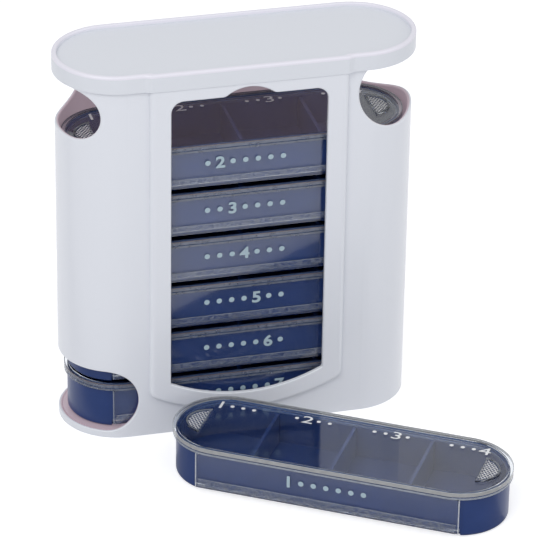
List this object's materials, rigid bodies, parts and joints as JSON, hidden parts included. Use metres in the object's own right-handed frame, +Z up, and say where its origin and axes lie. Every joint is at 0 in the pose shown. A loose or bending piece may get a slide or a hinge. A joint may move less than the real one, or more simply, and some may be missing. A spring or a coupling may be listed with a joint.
{
  "type": "weekly pill organizer tower",
  "caption": "White tower with a front window and openings at its ends that holds a stack of blue compartment boxes with clear sliding lids, one box lying in front.",
  "frame": {"origin": "centre of the tower's underside, on the surface it stands on", "axes": "+Z up, +X to the right seen from the front, +Y to the back; the tower's front with its window faces -Y"},
  "size_m": [0.1439, 0.1375, 0.146],
  "materials": {
    "casing": "satin",
    "tray": "satin",
    "lid": "clear"
  },
  "bodies": {
    "tower": {"front_shell": "casing", "back_shell": "casing", "base_plate": "casing", "top_tray": "casing"},
    "monday_box": {"monday_tray": "tray"},
    "monday_cover": {"monday_lid": "lid"},
    "sunday_box": {"sunday_tray": "tray"},
    "sunday_cover": {"sunday_lid": "lid"},
    "saturday_box": {"saturday_tray": "tray", "saturday_lid": "lid"},
    "friday_box": {"friday_tray": "tray", "friday_lid": "lid"},
    "thursday_box": {"thursday_tray": "tray", "thursday_lid": "lid"},
    "wednesday_box": {"wednesday_tray": "tray", "wednesday_lid": "lid"},
    "tuesday_box": {"tuesday_tray": "tray", "tuesday_lid": "lid"}
  },
  "joints": [
    {"name": "sunday_box_out", "type": "slide", "parent": "tower", "child": "sunday_box", "axis": [-1, 0, 0], "range_m": [0, 0.13]},
    {"name": "sunday_cover_slide", "type": "slide", "parent": "sunday_box", "child": "sunday_cover", "axis": [-1, 0, 0], "range_m": [0, 0.094]},
    {"name": "monday_box_lift", "type": "slide", "parent": "tower", "child": "monday_box", "axis": [0, 0, 1], "range_m": [0, 0.12]},
    {"name": "monday_cover_slide", "type": "slide", "parent": "monday_box", "child": "monday_cover", "axis": [0.8462, -0.5329, 0], "range_m": [0, 0.094]},
    {"name": "saturday_box_lift", "type": "slide", "parent": "tower", "child": "saturday_box", "axis": [0, 0, 1], "range_m": [0, 0.0045]},
    {"name": "friday_box_lift", "type": "slide", "parent": "saturday_box", "child": "friday_box", "axis": [0, 0, 1], "range_m": [0, 0.0045]},
    {"name": "thursday_box_lift", "type": "slide", "parent": "friday_box", "child": "thursday_box", "axis": [0, 0, 1], "range_m": [0, 0.0045]},
    {"name": "wednesday_box_lift", "type": "slide", "parent": "thursday_box", "child": "wednesday_box", "axis": [0, 0, 1], "range_m": [0, 0.0045]},
    {"name": "tuesday_box_lift", "type": "slide", "parent": "wednesday_box", "child": "tuesday_box", "axis": [0, 0, 1], "range_m": [0, 0.0045]}
  ]
}
